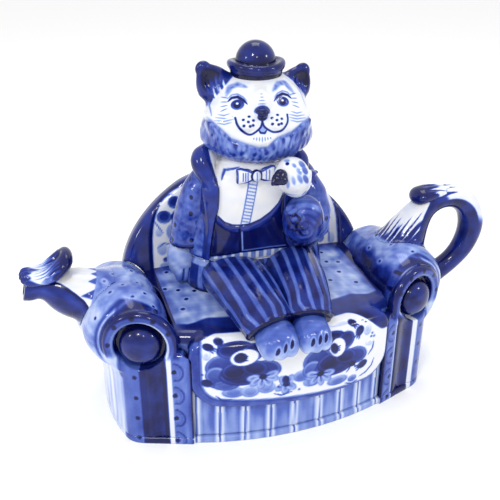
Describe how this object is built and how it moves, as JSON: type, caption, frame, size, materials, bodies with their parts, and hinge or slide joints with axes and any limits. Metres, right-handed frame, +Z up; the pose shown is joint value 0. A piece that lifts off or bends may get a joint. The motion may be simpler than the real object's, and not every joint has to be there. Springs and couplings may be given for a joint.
{
  "type": "teapot",
  "caption": "Hollow porcelain teapot shaped as a rolled-arm sofa with a seated cat in a jacket and hat; the upper body lifts off as the lid, and the arms carry spout and handle.",
  "frame": {"origin": "middle of the flat base the teapot stands on", "axes": "+Z up, +X from the spout side to the handle side, -Y towards the front of the sofa"},
  "size_m": [0.2865, 0.1288, 0.2078],
  "materials": {
    "painted_glaze": "white porcelain with cobalt underglaze painting under a clear gloss glaze",
    "white_glaze": "white porcelain under a clear gloss glaze",
    "cobalt_glaze": "solid cobalt under a clear gloss glaze",
    "bare_foot": "unglazed white biscuit, matt"
  },
  "bodies": {
    "pot": {"base_plate": "bare_foot", "seat_box": "painted_glaze", "left_armrest": "painted_glaze", "right_armrest": "painted_glaze", "left_scroll_knob": "cobalt_glaze", "right_scroll_knob": "cobalt_glaze", "backrest": "painted_glaze", "spout": "painted_glaze", "spout_leaf": "cobalt_glaze", "handle": "cobalt_glaze", "handle_leaf": "cobalt_glaze", "cat_hips": "painted_glaze", "right_leg": "painted_glaze", "left_leg": "painted_glaze", "right_foot": "painted_glaze", "left_foot": "painted_glaze"},
    "lid": {"torso": "painted_glaze", "lid_flange": "bare_foot", "head": "painted_glaze", "hat": "cobalt_glaze", "right_sleeve": "painted_glaze", "right_hand": "painted_glaze", "left_sleeve": "painted_glaze", "left_hand": "painted_glaze", "bird": "white_glaze", "bird_beak": "white_glaze", "bird_tail": "white_glaze", "bow_tie": "white_glaze"}
  },
  "joints": [
    {"name": "lid_lift", "type": "slide", "parent": "pot", "child": "lid", "axis": [0, 0, 1], "range_m": [0, 0.09]}
  ]
}
